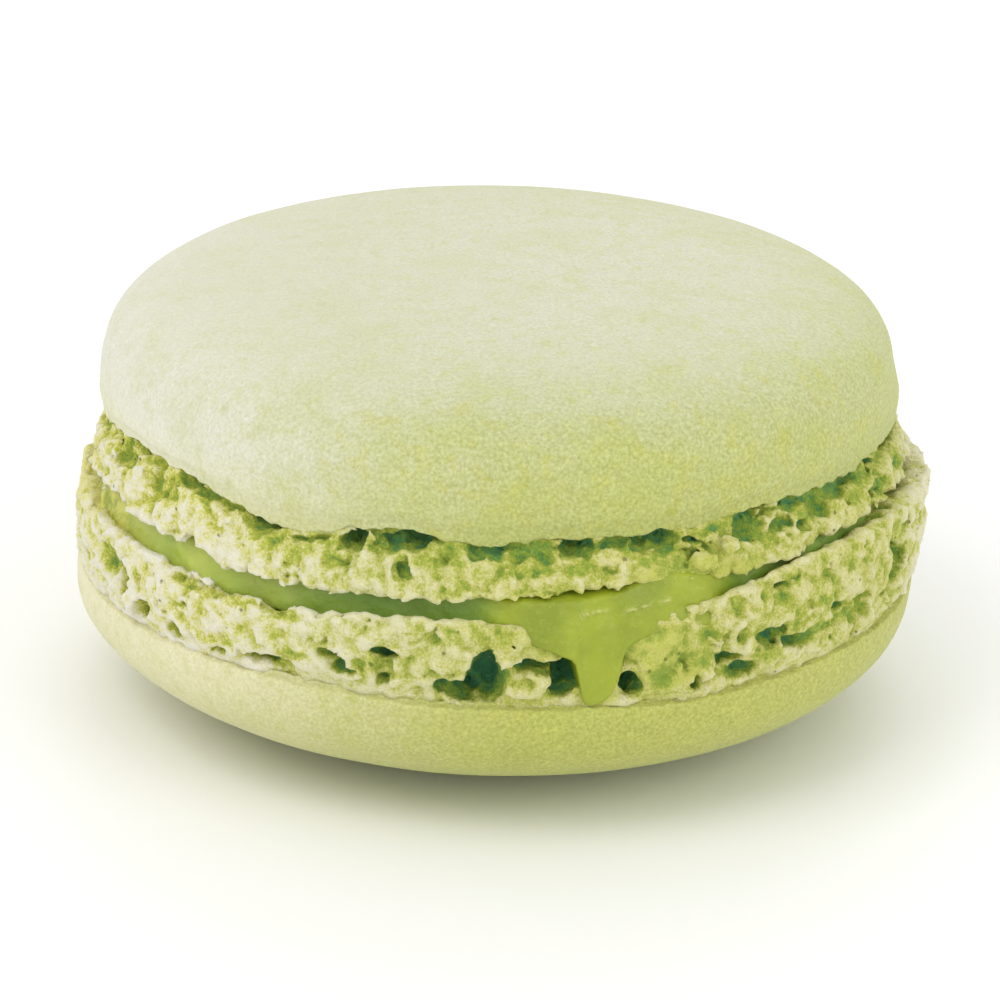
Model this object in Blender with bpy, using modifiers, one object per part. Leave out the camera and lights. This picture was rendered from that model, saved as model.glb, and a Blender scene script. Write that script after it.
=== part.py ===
"""A French macaron: two almond meringue shells with frilled feet, stuck together by a layer of cream.

Units are metres and +Z is up. The origin is the middle of the flat spot that the macaron rests on.
Azimuths are degrees round +Z, from 0 at the front, which faces -Y, to 90 at the right, on +X.
"""

import math
from typing import NamedTuple

import bmesh
import bpy
from mathutils import Vector, noise

MM = 0.001

# Driving dimensions, in millimetres and degrees.
COLUMNS = 104  # faces round every turned piece
DOME_STEPS = 9  # rows of faces from a cap's widest ring to its crown
ROLL_STEPS = 6  # rows of faces round the lip of a foot
EDGE_STEPS = 5  # rows of faces round the edge of the cream
REST_RADIUS = 8.0  # of the flat spot that the lower crown rests on
GAP = 0.4  # clearance between a shell's inner face and the cream
SEAM_RISE = 0.53  # how much higher the seam lies at the right edge than in the middle
TOP_LEAN = (-0.3, -0.69)  # degrees that the upper shell leans about X and about Y

# The frill of the feet, in millimetres.
LUMP_SIZE = 3.2
LUMP_HEIGHT = 0.42
PLEATS = 37
PLEAT_HEIGHT = 0.14

# The cream's edge, and the place at the front where it squeezes out over the lower foot.
CREAM_RADIUS = 21.35
CREAM_ROUNDING = 0.75
SPILL_AZIMUTH = 14.0
SPILL_HALF_WIDTH = 11.0
SPILL_REACH = 2.2
SPILL_DROP = 0.45
SPILL_THINNING = 0.4  # share of its thickness that the cream loses there

PISTACHIO = (0.62, 0.68, 0.30, 1.0)
CREAM_GREEN = (0.33, 0.47, 0.06, 1.0)


class Swell(NamedTuple):
    """A change centred on an azimuth that fades out on either side of it."""

    azimuth: float
    half_width: float
    amount: float  # in millimetres


class Shell(NamedTuple):
    """One baked shell, in millimetres. Its own heights run from the cap's rim towards its crown."""

    name: str
    up: int  # 1 where the crown points up, -1 where it points down
    rim_z: float  # height of the cap's rim above the ground
    rim_radius: float
    belly: float  # height of the widest ring above the rim
    radius: float  # of the widest ring
    dome: float  # height that the crown would have, were it not flattened
    squareness: float  # exponent of the superellipse that the dome follows
    flat_radius: float  # of the flattened crown
    foot: float  # height of the foot, from the rim to the crest of its lip
    foot_radius: float
    neck: float  # how far the foot draws in right under the rim
    lip: tuple  # half width and half height of the rolled lip
    recess: float  # how far the flat inner face lies behind the crest of the lip
    seam_rise: float  # how much the foot adds to the lean of the seam
    seed: float
    cave_share: float  # share of the foot's height, from the rim, where its caves are deepest
    cave_spread: float  # share of the foot's height over which they fade
    caves: tuple
    rim_waves: tuple  # where the rim of the cap rises
    lip_waves: tuple  # where the lip rises


def far_caves(seed):
    """The caves of the sides and the back, evenly spaced and then shifted and sized by noise."""
    first, last, spacing = 82.0, 284.0, 13.5
    found = []
    for index in range(int((last - first) / spacing)):
        shift = 0.6 * noise.noise(Vector((seed, index * 1.7, 0.5)))
        size = noise.noise(Vector((seed, index * 2.3, 7.5)))
        azimuth = first + (index + 0.5 + shift) * spacing
        found.append(Swell(azimuth, 3.6 + 1.8 * size, 1.7 + 0.9 * size))
    return tuple(found)


TOP = Shell(
    name="top_shell",
    up=1,
    rim_z=16.39,
    rim_radius=21.77,
    belly=1.33,
    radius=22.0,
    dome=6.81,
    squareness=3.4,
    flat_radius=0.0,
    foot=2.64,
    foot_radius=23.25,
    neck=0.35,
    lip=(1.05, 1.2),
    recess=0.75,
    seam_rise=SEAM_RISE - 0.28,
    seed=3.0,
    cave_share=0.16,
    cave_spread=0.28,
    caves=(
        Swell(-66, 4.0, 1.1),
        Swell(-50, 5.0, 1.3),
        Swell(-34, 4.5, 1.5),
        Swell(-19, 3.0, 1.7),
        Swell(-12, 4.0, 1.9),
        Swell(3, 7.0, 0.9),
        Swell(21, 4.5, 1.6),
        Swell(37, 3.5, 1.8),
        Swell(47, 4.0, 1.5),
        Swell(68, 4.0, 1.3),
    )
    + far_caves(3.0),
    rim_waves=(Swell(-58, 9, 0.5), Swell(-28, 6, -0.65), Swell(-12, 4, 0.4), Swell(40, 8, 0.5)),
    lip_waves=(Swell(-65, 20, 0.6), Swell(-12, 12, -0.25), Swell(16, 9, 0.35), Swell(65, 15, 0.4)),
)
BOTTOM = Shell(
    name="bottom_shell",
    up=-1,
    rim_z=8.2,
    rim_radius=23.2,
    belly=0.25,
    radius=23.55,
    dome=8.14,
    squareness=2.6,
    flat_radius=REST_RADIUS,
    foot=4.7,
    foot_radius=24.0,
    neck=0.2,
    lip=(1.1, 2.3),
    recess=0.8,
    seam_rise=SEAM_RISE,
    seed=11.0,
    cave_share=0.24,
    cave_spread=0.22,
    caves=(
        Swell(-66, 4.0, 1.4),
        Swell(-47, 2.5, 1.0),
        Swell(-32, 3.5, 1.3),
        Swell(-22, 4.0, 1.4),
        Swell(-14, 2.5, 1.5),
        Swell(-3.5, 4.5, 2.7),
        Swell(7.5, 3.5, 2.7),
        Swell(17.5, 2.0, 2.5),
        Swell(34, 4.5, 1.8),
        Swell(46, 5.0, 1.4),
        Swell(70, 4.0, 1.5),
    )
    + far_caves(11.0),
    rim_waves=(Swell(-25, 12, 0.2), Swell(26, 9, -0.25)),
    lip_waves=(Swell(-32, 16, -0.55), Swell(13, 10, -1.2), Swell(54, 17, 0.9)),
)


def clear_scene():
    """Removes what the scene holds, so that the script gives the same model each time."""
    for item in list(bpy.data.objects):
        bpy.data.objects.remove(item)


def material(name, colour, roughness):
    """A plain Principled material of that colour and roughness."""
    made = bpy.data.materials.new(name)
    made.use_nodes = True
    shader = made.node_tree.nodes["Principled BSDF"]
    shader.inputs["Base Color"].default_value = colour
    shader.inputs["Roughness"].default_value = roughness
    shader.inputs["Metallic"].default_value = 0.0
    return made


def azimuth_of(point):
    """The point's azimuth in degrees, from -180 to 180."""
    return math.degrees(math.atan2(point.x, -point.y))


def swelling(azimuth, swells):
    """The sum of the swells at an azimuth, in millimetres."""
    total = 0.0
    for swell in swells:
        apart = (azimuth - swell.azimuth + 180) % 360 - 180
        total += swell.amount * math.exp(-((apart / swell.half_width) ** 2))
    return total


def ease(value):
    """0 below 0, 1 above 1, and a smooth step between them."""
    clipped = min(max(value, 0.0), 1.0)
    return clipped * clipped * (3 - 2 * clipped)


def dome_height(shell, radius):
    """How far the dome stands over the widest ring at a radius."""
    share = 1 - (radius / shell.radius) ** shell.squareness
    return shell.dome * max(share, 0.0) ** (1 / shell.squareness)


def dome_profile(shell):
    """The dome's outline as (radius, height above the rim), from the crown to the widest ring."""
    points = [(0.0, shell.belly + dome_height(shell, shell.flat_radius))]
    start = 1 if shell.flat_radius == 0 else 0
    steepest = math.acos((shell.flat_radius / shell.radius) ** (shell.squareness / 2))
    for step in range(start, DOME_STEPS + 1):
        angle = steepest * (1 - step / DOME_STEPS)
        radius = shell.radius * math.cos(angle) ** (2 / shell.squareness)
        points.append((radius, shell.belly + dome_height(shell, radius)))
    return points


def foot_profile(shell):
    """The foot's outline as (radius, height above the rim), from the rim to the middle of its face."""
    half_width, half_height = shell.lip
    centre = (shell.foot_radius - half_width, half_height - shell.foot)
    points = [(shell.rim_radius, 0.0), (shell.rim_radius - shell.neck, -0.3)]
    for step in range(ROLL_STEPS + 1):
        angle = math.radians(60 - 185 * step / ROLL_STEPS)
        radius = centre[0] + half_width * math.cos(angle)
        points.append((radius, centre[1] + half_height * math.sin(angle)))
    face = shell.recess - shell.foot
    points.append((shell.foot_radius - 2.1 * half_width, face))
    points.append((0.0, face))
    return points


def turned(name, profile):
    """A solid of revolution about Z as a bmesh, from (radius, z) points in millimetres, top to bottom."""
    outline = bpy.data.meshes.new(name + "_outline")
    points = [(radius * MM, 0.0, z * MM) for radius, z in profile]
    outline.from_pydata(points, [(i, i + 1) for i in range(len(points) - 1)], [])
    source = bpy.data.objects.new(name + "_outline", outline)
    bpy.context.scene.collection.objects.link(source)
    screw = source.modifiers.new("turn", "SCREW")
    screw.steps = screw.render_steps = COLUMNS
    screw.use_merge_vertices = True
    screw.merge_threshold = 0.000001
    evaluated = source.evaluated_get(bpy.context.evaluated_depsgraph_get())
    solid = bmesh.new()
    solid.from_mesh(evaluated.to_mesh())
    bpy.data.objects.remove(source)
    bmesh.ops.remove_doubles(solid, verts=solid.verts, dist=0.000001)
    bmesh.ops.recalc_face_normals(solid, faces=solid.faces)
    return solid


def push_out(vertex, amount):
    """Moves a vertex away from the Z axis by that many millimetres. The very middle stays."""
    radius = vertex.co.xy.length / MM
    if radius > 0.1:
        vertex.co.xy *= 1 + amount / radius


def lump(point, seed):
    """Rounded lumps about LUMP_SIZE apart, from -1 in the creases to 1 on their crowns."""
    place = point / (LUMP_SIZE * MM) + Vector((seed, seed, seed))
    nearest = noise.voronoi(place)[0][0]
    return 1 - 2 * min(nearest / 0.8, 1.0)


def frill(shell, solid):
    """Gives a turned shell its wavy rim, and pushes its foot in and out to stand in lumps and caves."""
    for vertex in solid.verts:
        azimuth = azimuth_of(vertex.co)
        radius = vertex.co.xy.length / MM
        below = (shell.rim_z - vertex.co.z / MM) * shell.up
        along = below / shell.foot
        inset = shell.foot_radius - radius
        on_lip = ease((2.4 - inset) / 0.8)
        outside = max(ease((1.7 - inset) / 0.9), ease(5 * (0.65 - along)))
        wave = swelling(azimuth, shell.rim_waves) * math.exp(-((below / 0.9) ** 2))
        if below > 0.1:
            bumps = LUMP_HEIGHT * lump(vertex.co, shell.seed)
            bumps += PLEAT_HEIGHT * math.sin(math.radians(azimuth * PLEATS))
            depth = math.exp(-(((along - shell.cave_share) / shell.cave_spread) ** 2))
            caves = swelling(azimuth, shell.caves) * depth
            push_out(vertex, outside * (bumps - caves))
            lean = shell.seam_rise * vertex.co.x / (shell.foot_radius * MM)
            wave = wave * on_lip + ease(1.4 * along) * (lean + on_lip * swelling(azimuth, shell.lip_waves))
        vertex.co.z += wave * MM


def finished(name, solid, finish, home):
    """The bmesh as a smooth shaded object of that name in the collection."""
    mesh = bpy.data.meshes.new(name)
    bmesh.ops.triangulate(solid, faces=solid.faces)
    solid.to_mesh(mesh)
    solid.free()
    mesh.materials.append(finish)
    mesh.shade_smooth()
    mesh.set_sharp_from_angle(angle=math.radians(50))
    made = bpy.data.objects.new(name, mesh)
    home.objects.link(made)
    return made


def make_shell(shell, finish, home):
    """A whole shell: its smooth cap, the frilled foot below it and the flat face that takes the cream."""
    outline = dome_profile(shell) + foot_profile(shell)
    if shell.up < 0:
        outline.reverse()
    solid = turned(shell.name, [(radius, shell.rim_z + shell.up * height) for radius, height in outline])
    frill(shell, solid)
    return finished(shell.name, solid, finish, home)


def make_cream(finish, home):
    """The layer of cream between the two inner faces, with its rounded edge and the spill at the front."""
    top = TOP.rim_z - TOP.foot + TOP.recess - GAP
    bottom = BOTTOM.rim_z + BOTTOM.foot - BOTTOM.recess + GAP
    middle = (top + bottom) / 2
    outline = [(0.0, top)]
    for step in range(EDGE_STEPS + 1):
        angle = math.radians(90 - 180 * step / EDGE_STEPS)
        radius = CREAM_RADIUS - CREAM_ROUNDING * (1 - math.cos(angle))
        outline.append((radius, middle + (top - middle) * math.sin(angle)))
    outline.append((0.0, bottom))
    solid = turned("filling", outline)
    for vertex in solid.verts:
        azimuth = azimuth_of(vertex.co)
        radius = vertex.co.xy.length / MM
        edge = ease((radius - (CREAM_RADIUS - 2 * CREAM_ROUNDING)) / CREAM_ROUNDING)
        spill = edge * swelling(azimuth, [Swell(SPILL_AZIMUTH, SPILL_HALF_WIDTH, 1.0)])
        push_out(vertex, SPILL_REACH * spill)
        squeezed = SPILL_THINNING * spill * (vertex.co.z / MM - middle)
        lean = SEAM_RISE * vertex.co.x / (CREAM_RADIUS * MM)
        vertex.co.z += (lean - squeezed - SPILL_DROP * spill) * MM
    return finished("filling", solid, finish, home)


def main():
    """Builds the three pieces in one collection."""
    clear_scene()
    home = bpy.data.collections.new("french_macaron")
    bpy.context.scene.collection.children.link(home)
    crust = material("meringue", PISTACHIO, 0.75)
    make_shell(BOTTOM, crust, home)
    make_cream(material("cream", CREAM_GREEN, 0.4), home)
    top = make_shell(TOP, crust, home)
    top.rotation_euler = (math.radians(TOP_LEAN[0]), math.radians(TOP_LEAN[1]), 0.0)


main()
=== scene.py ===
"""The looks of a French macaron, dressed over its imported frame.

Sizes are in millimetres while a piece is being made, and a finished mesh is in metres, in the frame's
own axes: +Z is up, -Y is the front and +X the right. Azimuths are degrees round +Z, 0 at the front and
90 at the right. A shell's own heights are measured from the rim of its cap: "rise" runs towards the
crown, and "drop" runs the other way, down the frilled foot to the seam.
"""

import logging
import math
from dataclasses import dataclass, replace
from enum import Enum

import bpy
import numpy as np
from mathutils import Euler, Matrix, Vector, noise


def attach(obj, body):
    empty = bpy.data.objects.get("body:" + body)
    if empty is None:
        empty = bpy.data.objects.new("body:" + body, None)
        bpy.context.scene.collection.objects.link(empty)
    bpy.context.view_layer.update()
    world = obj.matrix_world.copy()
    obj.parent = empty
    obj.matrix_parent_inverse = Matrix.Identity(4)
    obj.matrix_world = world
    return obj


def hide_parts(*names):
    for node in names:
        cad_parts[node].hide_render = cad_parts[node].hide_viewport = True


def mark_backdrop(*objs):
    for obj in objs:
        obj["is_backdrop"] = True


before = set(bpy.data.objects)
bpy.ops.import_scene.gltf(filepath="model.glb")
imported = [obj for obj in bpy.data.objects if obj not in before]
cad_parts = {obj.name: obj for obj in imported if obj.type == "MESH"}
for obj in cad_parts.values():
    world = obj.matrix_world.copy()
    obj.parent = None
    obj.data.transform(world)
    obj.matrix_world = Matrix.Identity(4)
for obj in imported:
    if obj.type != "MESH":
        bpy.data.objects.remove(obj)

MM = 0.001
BODY = "root"
# Span of X, in millimetres, from the left side, painted paler as lit by the key light, to the right, painted
# greener as shade.
LIT_SIDE_SPAN = (-19.0, 3.0)
LOG = logging.getLogger("macaron")

Socket = bpy.types.NodeSocket
Value = Socket | float | int | bool | str | tuple
Colour = tuple[float, float, float]


class Slot(Enum):
    """The record's material slots."""

    MERINGUE = "meringue"
    CREAM = "cream"


class Facing(Enum):
    """Which way a shell's crown points."""

    UP = 1
    DOWN = -1


# ---------------------------------------------------------------- small shared rules


def linear(red: int, green: int, blue: int) -> Colour:
    """Turns a colour from screen values to the linear values that shaders take.

    Args:
        red: the red channel, 0 to 255.
        green: the green channel, 0 to 255.
        blue: the blue channel, 0 to 255.

    Returns:
        The three linear channels, 0 to 1.
    """

    def channel(value: int) -> float:
        """One channel of the screen's transfer curve, undone."""
        share = value / 255
        return share / 12.92 if share <= 0.04045 else ((share + 0.055) / 1.055) ** 2.4

    return channel(red), channel(green), channel(blue)


def ease(values: np.ndarray) -> np.ndarray:
    """0 below 0, 1 above 1, and a smooth step between them."""
    clipped = np.clip(values, 0.0, 1.0)
    return clipped * clipped * (3 - 2 * clipped)


@dataclass(frozen=True)
class Swell:
    """A rise centred on an azimuth that fades out on either side of it.

    Attributes:
        azimuth: degrees.
        half_width: degrees.
        amount: millimetres, upwards.
    """

    azimuth: float
    half_width: float
    amount: float


@dataclass(frozen=True)
class Blob:
    """A rounded place on a foot, hollow or solid as its owner says.

    Attributes:
        azimuth: degrees.
        drop: millimetres from the cap's rim.
        half_width: millimetres round the foot.
        half_height: millimetres.
        depth: millimetres inwards.
        inset: how far inside the rim its middle lies, in millimetres.
    """

    azimuth: float
    drop: float
    half_width: float
    half_height: float
    depth: float
    inset: float = 0.0


def swelling(azimuths: np.ndarray, swells: tuple[Swell, ...]) -> np.ndarray:
    """Adds the swells up.

    Args:
        azimuths: degrees, from -180 to 180.
        swells: the rises.

    Returns:
        The total rise at each azimuth, in millimetres.
    """
    total = np.zeros_like(azimuths)
    for swell in swells:
        apart = (azimuths - swell.azimuth + 180) % 360 - 180
        total += swell.amount * np.exp(-((apart / swell.half_width) ** 2))
    return total


def mesh_object(name: str, points: np.ndarray, faces: np.ndarray | list) -> bpy.types.Object:
    """Makes a smooth shaded object from points in millimetres.

    Args:
        name: the piece's name.
        points: one row of x, y, z for each vertex.
        faces: vertex numbers, three or four for each face.

    Returns:
        The object, at the origin, with its place in its mesh.
    """
    mesh = bpy.data.meshes.new(name)
    mesh.from_pydata((points * MM).tolist(), [], faces if isinstance(faces, list) else faces.tolist())
    mesh.update()
    mesh.shade_smooth()
    made = bpy.data.objects.new(name, mesh)
    bpy.context.scene.collection.objects.link(made)
    return made


def ring_faces(rows: int, columns: int, facing: Facing = Facing.UP) -> list[tuple[int, ...]]:
    """Joins rings of points, and a last point at each end, into faces that point outwards.

    Args:
        rows: how many rings there are, from the top to the bottom of what they enclose.
        columns: points in each ring, anticlockwise as seen from above.
        facing: DOWN where the first ring is the lowest.

    Returns:
        The faces as vertex numbers.
    """
    first, last = rows * columns, rows * columns + 1
    end = (rows - 1) * columns
    faces: list[tuple[int, ...]] = []
    for column in range(columns):
        after = (column + 1) % columns
        faces.append((first, column, after))
        for start in range(0, end, columns):
            below = start + columns
            faces.append((start + column, below + column, below + after, start + after))
        faces.append((end + column, last, end + after))
    return faces if facing is Facing.UP else [face[::-1] for face in faces]


def give_attribute(piece: bpy.types.Object, name: str, values: np.ndarray) -> None:
    """Stores one number for each vertex of a piece under a name."""
    layer = piece.data.attributes.new(name, "FLOAT", "POINT")
    layer.data.foreach_set("value", values.astype(np.float32))


def baked(name: str, source: bpy.types.Object) -> bpy.types.Object:
    """Turns an object with modifiers into a plain mesh at the origin.

    Args:
        name: the finished piece's name.
        source: the object that carries the modifiers, which is removed.

    Returns:
        The finished piece.
    """
    graph = bpy.context.evaluated_depsgraph_get()
    mesh = bpy.data.meshes.new_from_object(source.evaluated_get(graph))
    mesh.name = name
    mesh.shade_smooth()
    made = bpy.data.objects.new(name, mesh)
    bpy.context.scene.collection.objects.link(made)
    bpy.data.objects.remove(source)
    return made


def run_tree(name: str, tree: bpy.types.NodeTree, values: dict[str, object]) -> bpy.types.Object:
    """Runs a Geometry Nodes tree on an empty object.

    Args:
        name: the finished piece's name.
        tree: the tree.
        values: what its named inputs are set to.

    Returns:
        The finished piece.
    """
    source = bpy.data.objects.new(name + "_seed", bpy.data.meshes.new(name + "_seed"))
    bpy.context.scene.collection.objects.link(source)
    modifier = source.modifiers.new("grow", "NODES")
    modifier.node_group = tree
    for item in tree.interface.items_tree:
        if item.name in values:
            modifier[item.identifier] = values[item.name]
    return baked(name, source)


# ---------------------------------------------------------------- node trees


class Graph:
    """A node tree that is being built."""

    def __init__(self, tree: bpy.types.NodeTree) -> None:
        """Starts on an empty tree."""
        self.tree = tree
        tree.nodes.clear()

    def feed(self, socket: Socket, value: Value) -> None:
        """Links a socket to another, or gives it a plain value."""
        if isinstance(value, Socket):
            self.tree.links.new(value, socket)
        else:
            socket.default_value = value

    def add(
        self, kind: str, inputs: dict[str | int, Value] | None = None, **settings: object
    ) -> bpy.types.Node:
        """Adds one node.

        Args:
            kind: the node's type name.
            inputs: values or links for its inputs, by name or place.
            settings: its other properties.

        Returns:
            The node.
        """
        node = self.tree.nodes.new(kind)
        for name, value in settings.items():
            setattr(node, name, value)
        for key, value in (inputs or {}).items():
            self.feed(node.inputs[key], value)
        return node

    def math(self, operation: str, *values: Value) -> Socket:
        """One step of arithmetic on numbers."""
        return self.add("ShaderNodeMath", dict(enumerate(values)), operation=operation).outputs[0]

    def vector(self, operation: str, *values: Value) -> Socket:
        """One step of arithmetic on vectors, whose result may be a number."""
        node = self.add("ShaderNodeVectorMath", dict(enumerate(values)), operation=operation)
        is_number = operation in ("LENGTH", "DOT_PRODUCT", "DISTANCE")
        return node.outputs["Value" if is_number else "Vector"]

    def total(self, *values: Value) -> Socket:
        """The sum of several numbers."""
        result = values[0]
        for value in values[1:]:
            result = self.math("ADD", result, value)
        return result

    def step(self, value: Value, low: Value, high: Value, start: Value = 0.0, end: Value = 1.0) -> Socket:
        """A smooth step from start at low to end at high."""
        places = {"Value": value, "From Min": low, "From Max": high, "To Min": start, "To Max": end}
        node = self.add("ShaderNodeMapRange", interpolation_type="SMOOTHSTEP")
        for name, place in places.items():
            self.feed(node.inputs[name], place)
        return node.outputs["Result"]

    def joined(self, x: Value, y: Value, z: Value) -> Socket:
        """A vector from three numbers."""
        return self.add("ShaderNodeCombineXYZ", {0: x, 1: y, 2: z}).outputs[0]

    def split(self, vector: Socket) -> tuple[Socket, Socket, Socket]:
        """The three numbers of a vector."""
        node = self.add("ShaderNodeSeparateXYZ", {0: vector})
        return node.outputs[0], node.outputs[1], node.outputs[2]

    def grain(self, place: Socket, size: float, detail: float = 2.0, rough: float = 0.5) -> bpy.types.Node:
        """Cloudy noise whose patches are about that size, in the unit of the place it reads."""
        inputs = {"Vector": place, "Scale": 1 / size, "Detail": detail, "Roughness": rough}
        return self.add("ShaderNodeTexNoise", inputs)

    def cells(self, place: Socket, size: float, feature: str = "F1", **inputs: float) -> bpy.types.Node:
        """Cells of about that size, in the unit of the place it reads."""
        values = {"Vector": place, "Scale": 1 / size, **inputs}
        node = self.add("ShaderNodeTexVoronoi", feature=feature)
        for name, value in values.items():
            self.feed(node.inputs[name], value)
        return node


# ---------------------------------------------------------------- the form of the two shells


@dataclass(frozen=True)
class ShellForm:
    """The sizes of one baked shell, in millimetres, heights from the rim of its cap.

    Attributes:
        label: what its pieces are named after.
        node: the CAD node that it dresses.
        facing: which way the crown points.
        rim_z: height of the rim above the ground.
        rim_radius: radius at the rim.
        belly: how far the widest ring rises from the rim.
        radius: radius of the widest ring.
        dome: how far the crown would rise from the widest ring, were it not flattened.
        squareness: exponent of the superellipse that the dome follows.
        flat_radius: radius of the flattened crown.
        foot: how far the crest of the lip drops from the rim.
        foot_radius: radius of the foot at its widest.
        seam_rise: how much higher the lip stands at the right than in the middle.
        lean: degrees that the whole shell leans about X and about Y.
        slope: exponent of the foot's flare from the rim to its widest; less than 1 flares early.
        cover: how far the crumb stands out over the rim.
        fold: how fast it draws in under the skin above the rim.
        tuck: how far the foot draws in again towards the lip.
        shelf: where the face behind the lip draws back less.
        girth: where the foot stands out further.
        cap_girth: where the cap stands out further near its rim.
        dome_girth: where it stands out further above that.
        crumb_voxel: how fine the foot is grown.
        rim_waves: where the rim rises.
        lip_waves: where the lip rises.
        caves: the hollows torn under the rim that stand out.
        shade_spots: places of the foot painted greener, as painted shade of shallow hollows that are not
            carved.
        knobs: the lumps of the foot that stand out.
        soaked: where the cream has stained the foot.
        core_radius: radius of the core that the foot wraps.
        undercut: how deep the crumb is torn away all along the rim.
        rim_shade_depth: how much greener the crumb is painted near the rim, as millimetres of depth: painted
            shade under the top cap's overhanging rim; where negative, paler there.
        tear: how far the rim's edge wanders up and down, at the cap's three tear sizes.
        seed: what sets this shell's own grain.
    """

    label: str
    node: str
    facing: Facing
    rim_z: float
    rim_radius: float
    belly: float
    radius: float
    dome: float
    squareness: float
    flat_radius: float
    foot: float
    foot_radius: float
    seam_rise: float
    lean: tuple[float, float]
    slope: float
    cover: float
    fold: float
    tuck: float
    shelf: tuple[Swell, ...]
    girth: tuple[Swell, ...]
    cap_girth: tuple[Swell, ...]
    dome_girth: tuple[Swell, ...]
    crumb_voxel: float
    rim_waves: tuple[Swell, ...]
    lip_waves: tuple[Swell, ...]
    caves: tuple[Blob, ...]
    shade_spots: tuple[Blob, ...]
    knobs: tuple[Blob, ...]
    soaked: tuple[Blob, ...]
    core_radius: float
    undercut: float
    rim_shade_depth: float
    tear: tuple[float, float, float]
    seed: float

    def dome_rise(self, radius: np.ndarray) -> np.ndarray:
        """How far the dome rises from the rim at a radius."""
        share = 1 - (radius / self.radius) ** self.squareness
        return self.belly + self.dome * np.clip(share, 0.0, 1.0) ** (1 / self.squareness)

    def placed(self, points: np.ndarray) -> np.ndarray:
        """Leans points of the shell as the whole shell leans."""
        turn = Euler((math.radians(self.lean[0]), math.radians(self.lean[1]), 0.0)).to_matrix()
        return points @ np.array(turn).T


def blobs(*rows: tuple[float, ...]) -> tuple[Blob, ...]:
    """Makes blobs from rows of their sizes."""
    return tuple(Blob(*row) for row in rows)


def far_caves(seed: int, height: float, first: float, last: float, spacing: float) -> tuple[Blob, ...]:
    """The hollows of the sides and the back, spaced evenly and then shifted and sized at random.

    Args:
        seed: of the random numbers.
        height: of the foot, in millimetres.
        first: azimuth where they begin.
        last: azimuth where they end.
        spacing: degrees between them.

    Returns:
        One blob for each hollow.
    """
    draw = np.random.default_rng(seed)
    found = []
    for index in range(int((last - first) / spacing)):
        azimuth = first + (index + 0.5 + draw.uniform(-0.35, 0.35)) * spacing
        azimuth = (azimuth + 180) % 360 - 180
        size = draw.uniform(0.0, 1.0)
        found.append(
            Blob(
                azimuth=azimuth,
                drop=height * draw.uniform(0.12, 0.3),
                half_width=0.7 + 1.3 * size,
                half_height=0.4 + 0.16 * height * draw.uniform(0.2, 1.0),
                depth=1.0 + 1.3 * draw.uniform(0.0, 1.0),
            )
        )
    return tuple(found)


SEAM_RISE = 0.53
# A hollow beyond this azimuth may run on past 180 degrees, onto the other side.
NEAR_BACK = 165.0

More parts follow.
